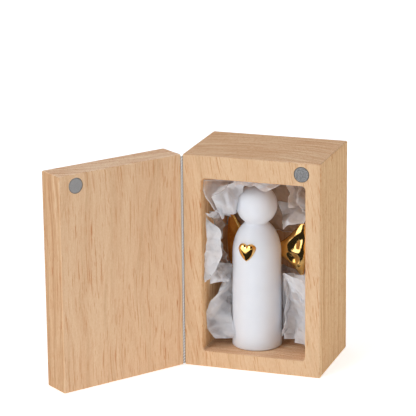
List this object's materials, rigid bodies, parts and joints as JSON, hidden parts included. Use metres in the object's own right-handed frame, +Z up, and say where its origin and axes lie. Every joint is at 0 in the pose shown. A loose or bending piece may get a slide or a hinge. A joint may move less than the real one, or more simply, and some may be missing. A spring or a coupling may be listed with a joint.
{
  "type": "boxed angel figurine",
  "caption": "Small white porcelain angel with gilded wings and heart, bedded in tissue inside a routed wooden keepsake case with a tape-hinged magnetic lid.",
  "frame": {"origin": "centre of the case's underside", "axes": "+Z up along the grain, -Y out of the case's mouth, +X towards the case's free side, away from the hinge"},
  "size_m": [0.0969, 0.0823, 0.085],
  "materials": {
    "rubberwood": "fine-sanded, thin clear oil",
    "hinge_tape": "woven twill tape",
    "magnet_nickel": "satin nickel plate",
    "bisque_porcelain": "unglazed matte bisque",
    "gold_lustre": "fired bright gold lustre over glaze",
    "tissue_paper": "thin crumpled translucent tissue"
  },
  "bodies": {
    "case": {"case_block": "rubberwood", "hinge_tape_case_leaf": "hinge_tape", "case_magnet": "magnet_nickel", "tissue_lower_left": "tissue_paper", "tissue_lower_right": "tissue_paper", "tissue_back": "tissue_paper", "tissue_upper_left": "tissue_paper", "tissue_upper_right": "tissue_paper", "tissue_top": "tissue_paper"},
    "lid": {"case_lid": "rubberwood", "hinge_tape_lid_leaf": "hinge_tape", "lid_magnet": "magnet_nickel"},
    "angel": {"angel_casting": "bisque_porcelain", "angel_heart": "gold_lustre", "angel_wing_left": "gold_lustre", "angel_wing_right": "gold_lustre"}
  },
  "joints": [
    {"name": "lid_hinge", "type": "hinge", "parent": "case", "child": "lid", "pos_m": [-0.0275, -0.01915, 0], "axis": [0, 0, -1], "range_deg": [-126, 48]},
    {"name": "angel_lift_out", "type": "slide", "parent": "case", "child": "angel", "axis": [0, -1, 0], "range_m": [0, 0.06]}
  ]
}
